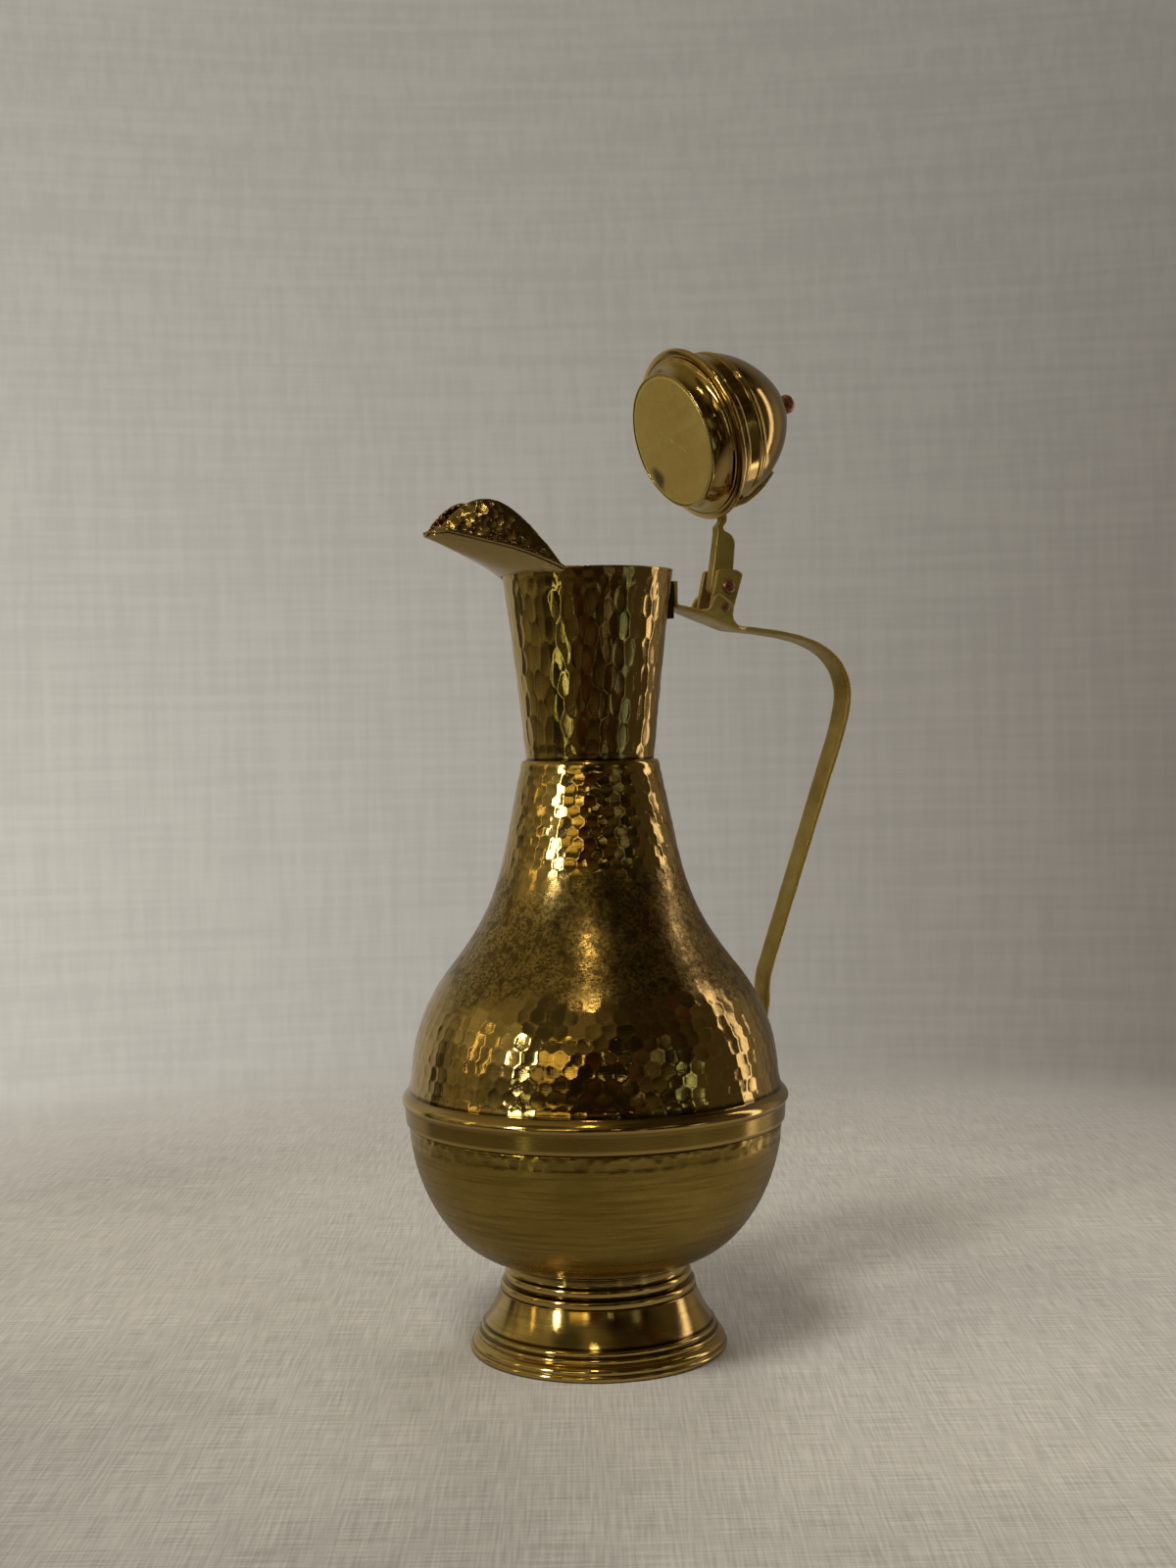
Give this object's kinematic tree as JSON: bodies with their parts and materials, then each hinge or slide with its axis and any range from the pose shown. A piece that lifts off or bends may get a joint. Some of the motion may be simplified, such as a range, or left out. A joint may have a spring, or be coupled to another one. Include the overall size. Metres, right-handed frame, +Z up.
{
  "type": "lidded ewer",
  "caption": "Hammered brass ewer on a turned foot, with a folded leaf-shaped spout lip, a riveted strap handle and a domed lid on a pinned hinge.",
  "frame": {"origin": "on the ewer's axis, in the plane that the foot stands on", "axes": "+Z up along the ewer's axis, +X from the axis to the handle, so -X points to the spout, and +Y along the lid's hinge pin"},
  "size_m": [0.1759, 0.1342, 0.3483],
  "materials": {
    "foot_brass": "polished, with fine turning rings",
    "bowl_brass": "satin, brushed round, with one row of hammer facets",
    "hammered_brass": "polished over hammer facets",
    "lip_brass": "bright, finely hammered",
    "handle_brass": "satin, darkened by handling",
    "lid_brass": "polished",
    "disc_brass": "matte, lightly stained",
    "copper": "worn copper"
  },
  "bodies": {
    "ewer": {"foot": "foot_brass", "lower_bowl": "bowl_brass", "upper_body": "hammered_brass", "neck": "hammered_brass", "spout_lip": "lip_brass", "neck_pad": "handle_brass", "body_pad": "handle_brass", "handle_strap": "handle_brass", "neck_rivet_upper": "copper", "neck_rivet_lower": "copper", "body_rivet_upper": "copper", "body_rivet_lower": "copper", "hinge_bracket": "handle_brass", "bracket_rivet": "copper", "hinge_pin": "copper"},
    "lid": {"lid_dome": "lid_brass", "lid_plug": "lid_brass", "lid_plug_disc": "disc_brass", "lid_finial": "copper", "lid_tongue": "handle_brass"}
  },
  "joints": [
    {"name": "lid_hinge", "type": "hinge", "parent": "ewer", "child": "lid", "pos_m": [0.0548, 0, 0.2647], "axis": [0, 1, 0], "range_deg": [-72, 88.5]}
  ]
}
